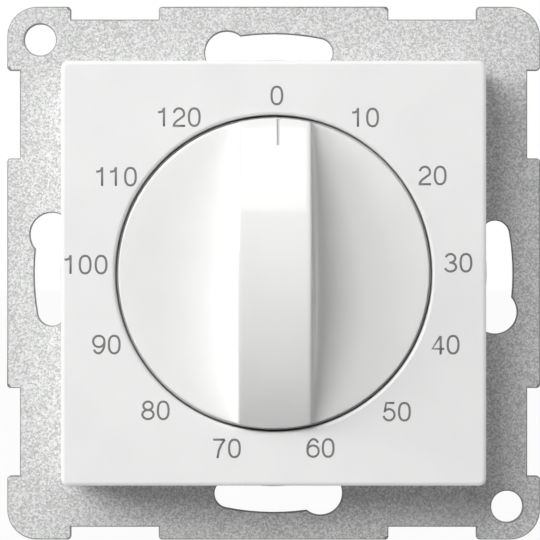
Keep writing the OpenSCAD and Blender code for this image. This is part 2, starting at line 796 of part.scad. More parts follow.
// A train wheel with a hub collet, a bore and five round crossings
module train_wheel(mod, level, collet_w, collet_h) {
    bore_r = arbor_d / 2 + seat_gap;
    collet_r = arbor_d / 2 + collet_w;
    collet_top = level + wheel_t + collet_h;
    rim_r = mod * (wheel_teeth / 2 - dedendum) - rim_w;
    crossing_orbit = (rim_r + collet_r) / 2;
    crossing_r = min((rim_r - collet_r) / 2 - crossing_gap, crossing_orbit * sin(36) - spoke_w / 2);
    difference() {
        union() {
            gear(wheel_teeth, mod, 0, level, level + wheel_t);
            disc(collet_r, level, collet_top);
        }
        disc(bore_r, level - cut, collet_top + cut);
        for (turn = [0 : 72 : 359]) at(polar(crossing_orbit, turn + 36))
            disc(crossing_r, level - cut, level + wheel_t + cut);
    }
}

module great_wheel() {
    rim_r = great_module * (wheel_teeth / 2 - dedendum) - rim_w;
    color("goldenrod") upright() difference() {
        union() {
            gear(wheel_teeth, great_module, 0, great_level, great_top);
            disc(great_boss_r, great_level, great_hub_top);
        }
        disc(spindle_r + running_gap, great_level - cut, great_top + cut);
        for (turn = [0 : 60 : 359]) at(polar((rim_r + great_boss_r) / 2, turn))
            disc((rim_r - great_boss_r) / 2 - great_crossing_gap, great_level - cut, great_top + cut);
    }
}

// An arbor between the plates, with a pivot at each end and a pinion on it
module arbor(shaft_r, pivot_radius, mod, phase, pinion_low, pinion_high) {
    disc(pivot_radius, back_plate_under + axial_gap, flange_under - axial_gap);
    disc(shaft_r, back_plate_top + axial_gap, plate_under - axial_gap);
    gear(pinion_leaves, mod, phase, pinion_low, pinion_high);
}

module second_arbor() {
    color([0.72, 0.72, 0.74]) upright() at(second_place)
        arbor(arbor_d / 2, pivot_d / 2, great_module, second_phase,
              great_level - pinion_overlap, great_top + pinion_overlap);
}
module third_arbor() {
    color([0.72, 0.72, 0.74]) upright() at(third_place)
        arbor(arbor_d / 2, pivot_d / 2, second_module, third_phase,
              second_level - pinion_overlap, second_level + wheel_t + pinion_overlap);
}
module fourth_arbor() {
    color([0.72, 0.72, 0.74]) upright() at(fourth_place)
        arbor(arbor_d / 2, pivot_d / 2, third_module, fourth_phase,
              third_level - pinion_overlap, third_level + wheel_t + pinion_overlap);
}
module escape_arbor() {
    color([0.72, 0.72, 0.74]) upright() at(escape_place)
        arbor(light_arbor_r, light_pivot_r, fourth_module, escape_phase,
              fourth_level - pinion_overlap, fourth_level + wheel_t + pinion_overlap);
}

module second_wheel() {
    color("goldenrod") upright() at(second_place)
        train_wheel(second_module, second_level, collet_wall, 0.6);
}
module third_wheel() {
    color("goldenrod") upright() at(third_place)
        train_wheel(third_module, third_level, collet_wall, 0.5);
}
module fourth_wheel() {
    color("goldenrod") upright() at(fourth_place)
        train_wheel(fourth_module, fourth_level, 0.6, 0.5);
}

// The escape wheel's narrow pointed teeth; one of them points at the anchor
module escape_wheel() {
    root_r = escape_r * 0.7;
    pitch = 360 / escape_teeth;
    points = [for (tooth = [0 : escape_teeth - 1])
        for (corner = [[root_r, -tooth_root_angle], [escape_r, -tooth_tip_angle],
                       [escape_r, tooth_tip_angle], [root_r, tooth_root_angle]])
            polar(corner[0], tooth * pitch + corner[1])];
    color("goldenrod") upright() at(escape_place) difference() {
        union() {
            rotate([0, 0, anchor_line]) between(escape_level, escape_level + wheel_t) polygon(points);
            disc(light_arbor_r + escape_collet_wall, escape_level, escape_level + wheel_t + escape_collet_h);
        }
        disc(light_arbor_r + seat_gap, escape_level - cut, escape_level + wheel_t + cut);
        for (turn = [0 : 90 : 359]) rotate([0, 0, turn]) translate([root_r * 0.63, 0, 0])
            disc(root_r * 0.2, escape_level - cut, escape_level + wheel_t + cut);
    }
}

module anchor_arbor() {
    color([0.72, 0.72, 0.74]) upright() at(anchor_place) {
        disc(light_pivot_r, back_plate_under + axial_gap, flange_under - axial_gap);
        disc(light_arbor_r, back_plate_top + axial_gap, plate_under - axial_gap);
    }
}

module anchor_lever() {
    color([0.7, 0.7, 0.72]) upright() difference() {
        union() {
            at(anchor_place) disc(light_arbor_r + collet_wall, lever_level, lever_level + lever_t);
            for (place = pallet_places) {
                reach = norm(place - anchor_place);
                at(anchor_place) rotate([0, 0, line_angle(anchor_place, place)])
                    translate([0, -lever_w / 2, lever_level]) cube([reach, lever_w, lever_t]);
                at(place) disc(pin_boss_r, lever_level, lever_level + lever_t);
            }
        }
        at(anchor_place) disc(light_arbor_r + seat_gap, lever_level - cut, lever_level + cut);
        for (place = pallet_places) at(place) disc(pin_r + seat_gap, lever_level - cut, lever_level + cut);
    }
}

module pallet_pins() {
    color([0.85, 0.85, 0.87]) upright() for (place = pallet_places)
        at(place) disc(pin_r, escape_level - pin_reach, lever_level + lever_t);
}

module anchor_weight() {
    low = third_level;
    high = third_level + weight_t;
    half = weight_r - weight_rim_w / 2;
    color("goldenrod") upright() at(anchor_place) {
        tube(weight_r, weight_r - weight_rim_w, low, high);
        difference() {
            union() {
                disc(light_arbor_r + collet_wall, low, high);
                translate([-half, -weight_bar_w / 2, low]) cube([2 * half, weight_bar_w, weight_t]);
            }
            disc(light_arbor_r + seat_gap, low - cut, high + cut);
        }
    }
}

// The moving leaf: riveted at its left end, bent up into a nose under the cam
module contact_blade() {
    left = -bar_outer_x;
    right = contact_x + contact_d / 2 + blade_end;
    half = nose_w / 2;
    color([0.85, 0.6, 0.4]) upright() difference() {
        between(blade_under, blade_top) polygon([
            [left, blade_y], [-half, blade_y], [0, nose_y], [half, blade_y], [right, blade_y],
            [right, blade_y - blade_t], [half - bend_in, blade_y - blade_t],
            [0, nose_y - bend_up], [bend_in - half, blade_y - blade_t],
            [left, blade_y - blade_t]]);
        for (x = [rivet_x, contact_x]) translate([x, blade_y + cut, blade_mid]) rotate([90, 0, 0])
            cylinder(r = rivet_r + seat_gap, h = blade_t + 2 * cut);
    }
}

// A round piece along Y, from one height to another, at a place along the blade
module stud(x, r, low_y, high_y) {
    translate([x, high_y, blade_mid]) rotate([90, 0, 0]) cylinder(r = r, h = high_y - low_y);
}

module moving_contact() {
    color([0.85, 0.85, 0.86]) upright() {
        stud(contact_x, contact_d / 2, moving_face, blade_y - blade_t);
        stud(contact_x, rivet_r, blade_y - blade_t - lap, blade_y + contact_tail);
    }
}

module blade_rivet() {
    under = blade_y - blade_t - bar_t;
    color([0.8, 0.65, 0.35]) upright() {
        stud(rivet_x, rivet_r, under, blade_y);
        stud(rivet_x, rivet_r + rivet_head_w, blade_y, blade_y + rivet_head_t);
        stud(rivet_x, rivet_r + rivet_head_w, under - rivet_head_t, under);
    }
}

module live_bar() {
    left = -bar_outer_x;
    shelf = blade_y - blade_t;
    color([0.8, 0.65, 0.35]) upright() difference() {
        between(bar_under, blade_top) polygon([
            [left, terminal_front], [left, shelf], [left + shelf_l, shelf],
            [left + shelf_l, shelf - bar_t], [left + bar_t, shelf - bar_t],
            [left + bar_t, terminal_front + bar_t], [left + terminal_w, terminal_front + bar_t],
            [left + terminal_w, terminal_front]]);
        stud(rivet_x, rivet_r + seat_gap, shelf - bar_t - cut, shelf + cut);
    }
}

module load_bar() {
    left = contact_x - contact_d / 2 - bar_end;
    color([0.8, 0.65, 0.35]) upright() between(bar_under, blade_top) polygon([
        [left, terminal_front], [left, load_bar_top], [bar_outer_x, load_bar_top],
        [bar_outer_x, terminal_front]]);
}

module fixed_contact() {
    color([0.85, 0.85, 0.86]) upright() stud(contact_x, contact_d / 2, load_bar_top, fixed_face);
}

// A brass block with a blind hole for the wire and a threaded hole for the clamping screw
module terminal(side) {
    difference() {
        translate([side * terminal_offset - terminal_w / 2, terminal_back, terminal_under])
            cube([terminal_w, terminal_w, terminal_l]);
        translate([side * terminal_offset, wire_y, 0])
            disc(wire_hole_d / 2, terminal_under - cut, terminal_under + wire_depth);
        translate([side * terminal_offset, wire_y, terminal_screw_z]) rotate([90, 0, 0])
            cylinder(r = terminal_screw_d / 2 + seat_gap, h = terminal_w);
    }
}

module live_terminal() { color([0.8, 0.65, 0.35]) upright() terminal(-1); }
module load_terminal() { color([0.8, 0.65, 0.35]) upright() terminal(1); }

module terminal_screws() {
    tip_y = wire_y - wire_hole_d / 2 - terminal_screw_tip;
    length = tip_y - terminal_back + terminal_screw_out;
    color([0.8, 0.8, 0.8]) upright() for (side = [-1, 1])
        translate([side * terminal_offset, tip_y, terminal_screw_z]) rotate([90, 0, 0]) difference() {
            cylinder(d = terminal_screw_d, h = length);
            translate([-terminal_screw_d, -terminal_slot_w / 2, length - terminal_slot_depth])
                cube([2 * terminal_screw_d, terminal_slot_w, terminal_slot_depth + cut]);
        }
}

module contact_carrier() {
    width = 2 * (bar_outer_x + tray_margin);
    front = terminal_front + tray_front;
    color([0.3, 0.3, 0.32]) upright() difference() {
        intersection() {
            disc(tub_r - tray_gap, carrier_under, terminal_top);
            union() {
                translate([-width / 2, -tub_r, carrier_under]) cube([width, tub_r + front, carrier_t]);
                translate([-barrier_w / 2, terminal_back - barrier_back, carrier_under])
                    cube([barrier_w, terminal_w, terminal_l + carrier_t]);
            }
        }
        for (side = [-1, 1]) translate([side * terminal_offset, wire_y, 0])
            disc(wire_way_d / 2, carrier_under - cut, terminal_under + lap);
    }
}

knob();
knob_clip();
cover_plate();
support_ring();
front_housing();
rear_housing();
housing_screws();
spindle_bush();
spindle();
clutch_spring();
clutch_ring();
cam_disc();
cam_ring();
front_plate();
back_plate();
pillars();
front_screws();
back_screws();
spring_post();
mainspring();
great_wheel();
second_arbor();
second_wheel();
third_arbor();
third_wheel();
fourth_arbor();
fourth_wheel();
escape_arbor();
escape_wheel();
anchor_arbor();
anchor_lever();
pallet_pins();
anchor_weight();
contact_blade();
moving_contact();
blade_rivet();
live_bar();
load_bar();
fixed_contact();
live_terminal();
load_terminal();
terminal_screws();
contact_carrier();
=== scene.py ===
# %% [markdown]
# # A clockwork timer light switch
# The switch is a square zinc-plated ring for a wall box, a white cover plate with a scale from 0 to
# 120 minutes, a round white knob with a grip bar, and a clockwork in a plastic tub behind the ring.
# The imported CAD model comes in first, as a frame of real parts at their real places in metres. The
# frame says where every part goes, so none is placed by eye. What is made here is the fine shape of
# the parts that show, the printed scale and the finish of everything.

# %% Load the frame
import json
from math import asin, cos, hypot, pi, radians, sin, sqrt

import bmesh
import bpy
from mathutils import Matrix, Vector


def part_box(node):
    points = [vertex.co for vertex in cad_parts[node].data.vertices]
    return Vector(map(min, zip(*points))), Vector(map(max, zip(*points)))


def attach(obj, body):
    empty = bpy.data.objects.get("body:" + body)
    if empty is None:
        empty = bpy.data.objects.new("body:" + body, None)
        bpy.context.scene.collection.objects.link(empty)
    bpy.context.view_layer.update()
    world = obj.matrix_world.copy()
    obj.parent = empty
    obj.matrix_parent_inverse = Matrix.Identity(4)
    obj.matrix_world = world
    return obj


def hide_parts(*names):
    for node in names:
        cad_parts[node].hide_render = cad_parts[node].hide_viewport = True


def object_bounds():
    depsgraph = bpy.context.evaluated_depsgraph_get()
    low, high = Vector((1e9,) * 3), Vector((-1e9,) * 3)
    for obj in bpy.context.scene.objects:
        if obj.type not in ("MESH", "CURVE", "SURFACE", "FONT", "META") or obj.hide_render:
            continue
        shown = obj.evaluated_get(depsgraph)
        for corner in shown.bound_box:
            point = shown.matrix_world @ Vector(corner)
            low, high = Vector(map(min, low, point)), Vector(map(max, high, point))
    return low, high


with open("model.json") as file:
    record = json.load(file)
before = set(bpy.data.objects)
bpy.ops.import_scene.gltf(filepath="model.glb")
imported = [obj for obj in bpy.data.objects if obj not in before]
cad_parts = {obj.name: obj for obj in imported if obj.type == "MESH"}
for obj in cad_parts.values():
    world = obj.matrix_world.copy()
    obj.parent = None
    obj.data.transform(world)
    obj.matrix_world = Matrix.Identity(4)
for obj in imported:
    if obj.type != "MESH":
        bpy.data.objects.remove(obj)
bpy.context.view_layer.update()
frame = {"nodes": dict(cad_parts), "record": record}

MM = 0.001

# %% [markdown]
# Blender's operators act on whatever is selected, and the import leaves all parts selected. A few
# helpers keep that tidy: one selects a single piece, and one picks faces or edges in edit mode by a
# rule on their place.

# %% Helpers for selecting
def select_only(piece):
    bpy.ops.object.select_all(action="DESELECT")
    piece.select_set(True)
    bpy.context.view_layer.objects.active = piece


def edit(piece, kind):
    """Opens a piece in edit mode, to pick its VERT, EDGE or FACE elements."""
    select_only(piece)
    bpy.ops.object.mode_set(mode="EDIT")
    bpy.ops.mesh.select_mode(type=kind)
    bpy.ops.mesh.select_all(action="DESELECT")


def pick(piece, elements, rule):
    """Selects the elements of the open piece that the rule accepts, and says how many there are."""
    bpy.ops.mesh.select_all(action="DESELECT")
    mesh = bmesh.from_edit_mesh(piece.data)
    mesh.normal_update()
    chosen = [item for item in getattr(mesh, elements) if rule(item)]
    for item in chosen:
        item.select_set(True)
    mesh.select_flush_mode()
    bmesh.update_edit_mesh(piece.data)
    return len(chosen)


def close_edit():
    bpy.ops.object.mode_set(mode="OBJECT")


# %% [markdown]
# Pieces are modelled lying flat with their front upwards, because that is easy to think about, and
# are turned upright once they are done. A block or a round bar is only a start or a cutting tool.

# %% Helpers for shaping
def named(name):
    """Names the piece just added and puts its place and size into its mesh."""
    piece = bpy.context.object
    piece.name = piece.data.name = name
    select_only(piece)
    bpy.ops.object.transform_apply(location=True, rotation=True, scale=True)
    return piece


def block(name, size, centre):
    bpy.ops.object.select_all(action="DESELECT")
    bpy.ops.mesh.primitive_cube_add(size=1, location=centre, scale=size)
    return named(name)


def round_bar(name, radius, low, high, steps=128):
    bpy.ops.object.select_all(action="DESELECT")
    bpy.ops.mesh.primitive_cylinder_add(vertices=steps, radius=radius, depth=high - low,
                                        location=(0, 0, (low + high) / 2))
    return named(name)


def apply(piece, kind, **settings):
    """Adds a modifier with these settings and applies it."""
    change = piece.modifiers.new(kind.lower(), kind)
    for key, value in settings.items():
        setattr(change, key, value)
    select_only(piece)
    bpy.ops.object.modifier_apply(modifier=change.name)


def combine(piece, tool, operation):
    """Cuts the tool out of a piece, or joins it on, and throws the tool away."""
    apply(piece, "BOOLEAN", object=tool, operation=operation, solver="EXACT")
    bpy.data.objects.remove(tool)


def stand_up(piece):
    """Turns a piece that was modelled flat so that its front faces the viewer."""
    select_only(piece)
    bpy.ops.object.transform_apply(location=True, rotation=True, scale=True)
    piece.rotation_euler.x = pi / 2
    bpy.ops.object.transform_apply(location=True, rotation=True, scale=True)


def smooth(piece, angle=30):
    select_only(piece)
    bpy.ops.object.shade_smooth_by_angle(angle=radians(angle))
    apply(piece, "WEIGHTED_NORMAL", keep_sharp=True, weight=100)


def levels(node):
    """How far a part's front and back stand out from the wall plane."""
    low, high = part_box(node)
    return -low.y, -high.y


def width(node):
    low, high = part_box(node)
    return high.x - low.x


# %% [markdown]
# ## Shared surface effects
# The finishes need a few kinds of unevenness: the skin of moulded plastic, the flecks of a zinc coat
# and the tool lines in bare metal. Each is a node group with named inputs, built once, so that every
# material can place it at its own scale, given in grains to the metre. The groups only put out
# values, and the shader itself stays in the material, where the export can read it.

# %% Helper for node groups
def group(name, inputs, outputs):
    """An empty node group with number inputs (name: default) and number outputs."""
    tree = bpy.data.node_groups.new(name, "ShaderNodeTree")
    for title, value in inputs.items():
        socket = tree.interface.new_socket(title, in_out="INPUT", socket_type="NodeSocketFloat")
        socket.default_value = value
    for title in outputs:
        tree.interface.new_socket(title, in_out="OUTPUT", socket_type="NodeSocketFloat")
    return tree, tree.nodes.new("NodeGroupInput"), tree.nodes.new("NodeGroupOutput")


def add(tree, kind, **settings):
    """A node of a kind, with its properties and its inputs set by name."""
    node = tree.nodes.new("ShaderNode" + kind)
    for key, value in settings.items():
        if hasattr(node, key):
            setattr(node, key, value)
        else:
            node.inputs[key.replace("_", " ").title()].default_value = value
    return node


def calculate(tree, operation, first, second):
    """A Math node on two values, each a socket or a number."""
    node = tree.nodes.new("ShaderNodeMath")
    node.operation = operation
    for socket, value in zip(node.inputs, (first, second)):
        if isinstance(value, (int, float)):
            socket.default_value = value
        else:
            tree.links.new(value, socket)
    return node.outputs["Value"]


def object_place(tree):
    return tree.nodes.new("ShaderNodeTexCoord").outputs["Object"]


# %% [markdown]
# Moulded plastic is never quite flat: the tool leaves a faint orange peel, and handling leaves soft
# patches that shine a little less. One noise at the grain's size gives the height, and a second,
# much larger one gives the patches.

# %% The moulded skin
skin, skin_in, skin_out = group("moulded_skin", {"Grain": 900.0, "Patches": 90.0}, ["Height", "Patch"])
grain = add(skin, "TexNoise", detail=3.0, roughness=0.55)
patches = add(skin, "TexNoise", detail=2.0, roughness=0.5)
for noise, socket in ((grain, "Grain"), (patches, "Patches")):
    skin.links.new(object_place(skin), noise.inputs["Vector"])
    skin.links.new(skin_in.outputs[socket], noise.inputs["Scale"])
skin.links.new(grain.outputs["Fac"], skin_out.inputs["Height"])
skin.links.new(patches.outputs["Fac"], skin_out.inputs["Patch"])
print("moulded_skin:", len(skin.nodes), "nodes")

# %% [markdown]
# A zinc coat is a skin of small crystals, which show as light and dark flecks a few tenths of a
# millimetre wide. A Voronoi texture gives each crystal its own tone, and a noise breaks the edges.

# %% The zinc's flecks
crystal_share = 0.45
noise_share = 0.55
flecks, flecks_in, flecks_out = group("zinc_flecks", {"Size": 2600.0}, ["Tone", "Height"])
place = object_place(flecks)
crystal = add(flecks, "TexVoronoi", randomness=1.0)
speckle = add(flecks, "TexNoise", detail=4.0, roughness=0.7)
for texture in (crystal, speckle):
    flecks.links.new(place, texture.inputs["Vector"])
    flecks.links.new(flecks_in.outputs["Size"], texture.inputs["Scale"])
tone = flecks.nodes.new("ShaderNodeSeparateColor")
flecks.links.new(crystal.outputs["Color"], tone.inputs["Color"])
from_crystal = calculate(flecks, "MULTIPLY", tone.outputs["Red"], crystal_share)
from_noise = calculate(flecks, "MULTIPLY", speckle.outputs["Fac"], noise_share)
mixed = calculate(flecks, "ADD", from_crystal, from_noise)
flecks.links.new(mixed, flecks_out.inputs["Tone"])
flecks.links.new(speckle.outputs["Fac"], flecks_out.inputs["Height"])
print("zinc_flecks:", len(flecks.nodes), "nodes")

# %% [markdown]
# Rolled sheet and turned bar carry fine parallel lines from the tool. A noise that is stretched a
# long way in one direction looks just like them. The inputs say how fine the pattern is across the
# piece, up along it and into its depth.

# %% The tool lines
lines, lines_in, lines_out = group(
    "tool_lines", {"Across": 9000.0, "Along": 250.0, "Depth": 9000.0}, ["Line", "Stain"])
stretch = lines.nodes.new("ShaderNodeCombineXYZ")
for socket, title in zip(stretch.inputs, ("Across", "Depth", "Along")):
    lines.links.new(lines_in.outputs[title], socket)
scaled = lines.nodes.new("ShaderNodeVectorMath")
scaled.operation = "MULTIPLY"
lines.links.new(object_place(lines), scaled.inputs[0])
lines.links.new(stretch.outputs["Vector"], scaled.inputs[1])
stroke = add(lines, "TexNoise", scale=1.0, detail=2.0, roughness=0.6)
stain = add(lines, "TexNoise", scale=220.0, detail=3.0, roughness=0.6)
lines.links.new(scaled.outputs["Vector"], stroke.inputs["Vector"])
lines.links.new(object_place(lines), stain.inputs["Vector"])
lines.links.new(stroke.outputs["Fac"], lines_out.inputs["Line"])
lines.links.new(stain.outputs["Fac"], lines_out.inputs["Stain"])
print("tool_lines:", len(lines.nodes), "nodes")

# %% [markdown]
# ## Finishes
# A finish is one Principled shader with a shared effect on its colour, roughness and bump. What is
# the same all over, such as the index of refraction, is set on the shader's own socket. A noise
# hardly ever leaves its middle range, so that range is what gets spread over two shades.

# %% Helpers for finishes
NOISE_LOW, NOISE_HIGH = 0.3, 0.7


def finish(name, **sockets):
    """A new material with its shader's plain values set by socket name."""
    material = bpy.data.materials.new(name)
    material.use_nodes = True
    shader = material.node_tree.nodes["Principled BSDF"]
    for key, value in sockets.items():
        shader.inputs[key.replace("_", " ").replace("Ior", "IOR")].default_value = value
    return material, material.node_tree, shader


def effect(tree, source, **inputs):
    node = tree.nodes.new("ShaderNodeGroup")
    node.node_tree = source
    for key, value in inputs.items():
        node.inputs[key].default_value = value
    return node.outputs


def spread(tree, value, low, high):
    """Spreads the middle range of a noise value between two numbers."""
    node = tree.nodes.new("ShaderNodeMapRange")
    tree.links.new(value, node.inputs["Value"])
    ends = {"From Min": NOISE_LOW, "From Max": NOISE_HIGH, "To Min": low, "To Max": high}
    for key, number in ends.items():
        node.inputs[key].default_value = number
    return node.outputs["Result"]


def blend_colours(tree, value, dark, light):
    node = tree.nodes.new("ShaderNodeMix")
    node.data_type = "RGBA"
    tree.links.new(spread(tree, value, 0.0, 1.0), node.inputs["Factor"])
    node.inputs["A"].default_value = (*dark, 1)
    node.inputs["B"].default_value = (*light, 1)
    return node.outputs["Result"]


def bump(tree, shader, height, distance, strength=0.5):
    node = tree.nodes.new("ShaderNodeBump")
    node.inputs["Distance"].default_value = distance
    node.inputs["Strength"].default_value = strength
    tree.links.new(height, node.inputs["Height"])
    tree.links.new(node.outputs["Normal"], shader.inputs["Normal"])


def plastic(name, dark, light, rough, grain_size, relief, patch_size=8 * MM):
    """Moulded plastic between two shades, with a range of roughness and a grain of a real size."""
    material, tree, shader = finish(name, Ior=1.5)
    surface = effect(tree, skin, Grain=1 / grain_size, Patches=1 / patch_size)
    tree.links.new(blend_colours(tree, surface["Patch"], dark, light), shader.inputs["Base Color"])
    tree.links.new(spread(tree, surface["Patch"], *rough), shader.inputs["Roughness"])
    bump(tree, shader, surface["Height"], relief)
    return material


def metal(name, dark, light, rough, relief=0.004 * MM, **stretch):
    """Bare metal with tool lines and faint stains."""
    material, tree, shader = finish(name, Metallic=1.0)
    surface = effect(tree, lines, **stretch)
    tree.links.new(blend_colours(tree, surface["Stain"], dark, light), shader.inputs["Base Color"])
    tree.links.new(spread(tree, surface["Line"], *rough), shader.inputs["Roughness"])
    bump(tree, shader, surface["Line"], relief)
    return material


# %% [markdown]
# The cover and the knob are the same white plastic, which sends back about five sixths of the
# light. Their skin is very fine. The knob is the smoother one, so its reflections are crisper.

# %% White plastics
white_cover = plastic("white_cover_gloss", (0.815, 0.815, 0.812), (0.845, 0.845, 0.84), (0.20, 0.27),
                      0.9 * MM, 0.0016 * MM)
white_knob = plastic("white_knob_gloss", (0.81, 0.81, 0.805), (0.84, 0.84, 0.83), (0.08, 0.12),
                     0.9 * MM, 0.0014 * MM)
print("white plastics:", white_cover.name, white_knob.name)

# %% [markdown]
# The housing is a matt off-white plastic with a coarse, spark-eroded grain. The tray under the
# contacts is nearly black and the cam is dark blue, so that they can be told apart in the movement.

# %% Matt plastics
housing_plastic = plastic("housing_matt", (0.66, 0.66, 0.63), (0.71, 0.71, 0.68), (0.52, 0.66),
                          0.22 * MM, 0.012 * MM)
carrier_plastic = plastic("carrier_matt", (0.055, 0.055, 0.06), (0.08, 0.08, 0.085), (0.5, 0.65),
                          0.2 * MM, 0.01 * MM)
cam_plastic = plastic("cam_satin", (0.05, 0.075, 0.16), (0.065, 0.095, 0.2), (0.35, 0.48),
                      0.3 * MM, 0.006 * MM)
print("matt plastics:", housing_plastic.name, carrier_plastic.name, cam_plastic.name)

# %% [markdown]
# The ring is zinc-plated steel. Zinc is a metal, but its dull crystals scatter light nearly as paint
# does. A metallic shader would mirror the white room, so this finish is a rough, hardly shiny paint
# with the flecks' tones: that way the cover's soft shadow shows on it, as it does on the real one.

# %% Zinc-plated steel
fleck_size = 0.2 * MM
fleck_relief = 0.02 * MM
zinc_dark, zinc_light = (0.43, 0.435, 0.43), (0.77, 0.775, 0.77)
zinc_rough_dark, zinc_rough_light = 0.62, 0.45

zinc_steel, tree, shader = finish("zinc_plated_sheet", Specular_Ior_Level=0.15)
surface = effect(tree, flecks, Size=1 / fleck_size)
tree.links.new(blend_colours(tree, surface["Tone"], zinc_dark, zinc_light),
               shader.inputs["Base Color"])
tree.links.new(spread(tree, surface["Tone"], zinc_rough_dark, zinc_rough_light),
               shader.inputs["Roughness"])
bump(tree, shader, surface["Height"], fleck_relief)
print("zinc flecks:", round(fleck_size / MM, 2), "mm")

# %% [markdown]
# The clockwork is brass and steel. Brass wheels are stamped from rolled sheet and polished, steel
# arbors are turned, the mainspring is blued by heat, the contact leaf is rolled bronze and its
# contacts are silver.

# %% Clockwork metals
brass = metal("polished_brass", (0.62, 0.42, 0.16), (0.78, 0.56, 0.25), (0.20, 0.34))
steel = metal("turned_steel", (0.50, 0.50, 0.51), (0.66, 0.66, 0.67), (0.22, 0.36),
              Across=2500.0, Along=2500.0, Depth=9000.0)
spring_steel = metal("blued_spring_steel", (0.07, 0.09, 0.17), (0.14, 0.16, 0.26), (0.24, 0.38),
                     Across=400.0, Along=400.0, Depth=9000.0)
blade_bronze = metal("rolled_bronze", (0.58, 0.33, 0.18), (0.72, 0.45, 0.27), (0.24, 0.36),
                     Across=300.0, Along=9000.0, Depth=9000.0)
contact_silver = metal("contact_silver", (0.72, 0.72, 0.71), (0.86, 0.86, 0.85), (0.18, 0.3))

FINISHES = {
    "white_cover": white_cover, "white_knob": white_knob, "zinc_steel": zinc_steel,
    "housing_plastic": housing_plastic, "carrier_plastic": carrier_plastic,
    "cam_plastic": cam_plastic, "brass": brass, "steel": steel, "spring_steel": spring_steel,
    "blade_bronze": blade_bronze, "contact_silver": contact_silver,
}
print(len(FINISHES), "finishes")

# %% [markdown]
# The CAD parts already have the right shapes, so they stay, and each takes the finish that its
# record names.

# %% Paint the CAD parts
for part in frame["record"]["subparts"]:
    for place in frame["nodes"][part["node"]].material_slots:
        place.material = FINISHES[part["material_slot"]]

# %% [markdown]
# The cover, the print, the knob and the ring are what the eye meets, so these are modelled anew. A
# new piece gets its finish, rides on the body that it belongs to and stands for its CAD part.

# %% Helper for the new pieces
def dress(piece, slot, body, *nodes):
    """Gives a piece its finish and its body, and lets it stand for its CAD part."""
    piece.data.materials.clear()
    piece.data.materials.append(FINISHES[slot])
    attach(piece, body)
    if nodes:
        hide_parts(*nodes)
    print(piece.name, "has", len(piece.data.polygons), "faces")


# %% [markdown]
# ## The cover plate
# The cover is a shallow square box, open at the back, with barely rounded corners. It starts as a
# cube whose back is inset and pushed in. The bevels come after that, because an inset that is wider
# than a corner's radius would cross over itself.

# %% The cover's box
TINY = 0.01 * MM
cover_face, cover_foot = levels("cover_plate")
cover_w = width("cover_plate")
cover_corner_r = 0.9 * MM
cover_skirt = 1.6 * MM
cover_face_t = 1.8 * MM
outer_corner_steps, inner_corner_steps = 8, 4


def near(value, target):
    return abs(value - target) < TINY


def across(edge):
    """Whether an edge runs from front to back."""
    return not near(edge.verts[0].co.z, edge.verts[1].co.z)


def inside_corner(edge):
    return across(edge) and abs(edge.verts[0].co.x) < cover_w / 2 - cover_skirt + TINY


cover = block("cover_shell", (cover_w, cover_w, cover_face - cover_foot),
              (0, 0, (cover_face + cover_foot) / 2))
edit(cover, "FACE")
pick(cover, "faces", lambda face: face.normal.z < -0.9)
bpy.ops.mesh.inset(thickness=cover_skirt)
bpy.ops.mesh.extrude_region_move(
    TRANSFORM_OT_translate={"value": (0, 0, cover_face - cover_face_t - cover_foot)})
bpy.ops.mesh.select_mode(type="EDGE")
pick(cover, "edges", lambda edge: across(edge) and near(abs(edge.verts[0].co.x), cover_w / 2))
bpy.ops.mesh.bevel(offset=cover_corner_r, segments=outer_corner_steps, affect="EDGES")
pick(cover, "edges", inside_corner)
bpy.ops.mesh.bevel(offset=cover_corner_r / 2, segments=inner_corner_steps, affect="EDGES")
print("outer corners:", round(cover_corner_r / MM, 2), "mm radius")

# %% [markdown]
# What the eye catches is the edge of the face, which draws a bright line at the top left. It isn't a
# full quarter round: it turns only 40 degrees and meets the sides at a sharp line. A bevel always
# makes the whole turn. So the face is pushed back by the arc's height and brought up again by
# insets, each a little wider and flatter than the last, as the arc asks.

# %% The edge of the cover's face
cover_edge_r = 0.86 * MM
cover_edge_turn = radians(40)
cover_edge_steps = 6

bpy.ops.mesh.select_mode(type="FACE")
pick(cover, "faces", lambda face: near(face.calc_center_median().z, cover_face))
bpy.ops.transform.translate(value=(0, 0, -cover_edge_r * (1 - cos(cover_edge_turn))))
for step in range(cover_edge_steps):
    start, end = (cover_edge_turn * (1 - count / cover_edge_steps) for count in (step, step + 1))
    bpy.ops.mesh.inset(thickness=cover_edge_r * (sin(start) - sin(end)),
                       depth=cover_edge_r * (cos(end) - cos(start)))
close_edit()
print("cover box:", len(cover.data.polygons), "faces")

# %% [markdown]
# A round collar under the opening snaps into the housing with four small noses. It is joined on as
# a solid drum and bored out together with the face, so that face and collar share one wall. A
# cutting tool always overshoots what it cuts, because two faces in one plane confuse the cut.

# %% The cover's collar and opening
knob_r = width("knob") / 2
knob_gap = 0.45 * MM
opening_r = knob_r + knob_gap
collar_wall = 1.2 * MM
collar_r = opening_r + collar_wall
collar_foot = cover_foot + 1.2 * MM
nose_count = 4
nose_out = 0.2 * MM
nose_top = cover_foot + 3.2 * MM
nose_size = (1 * MM, 4.6 * MM, 1 * MM)
opening_edge_r = 0.45 * MM
opening_steps, opening_edge_steps = 192, 6
overshoot = 1 * MM

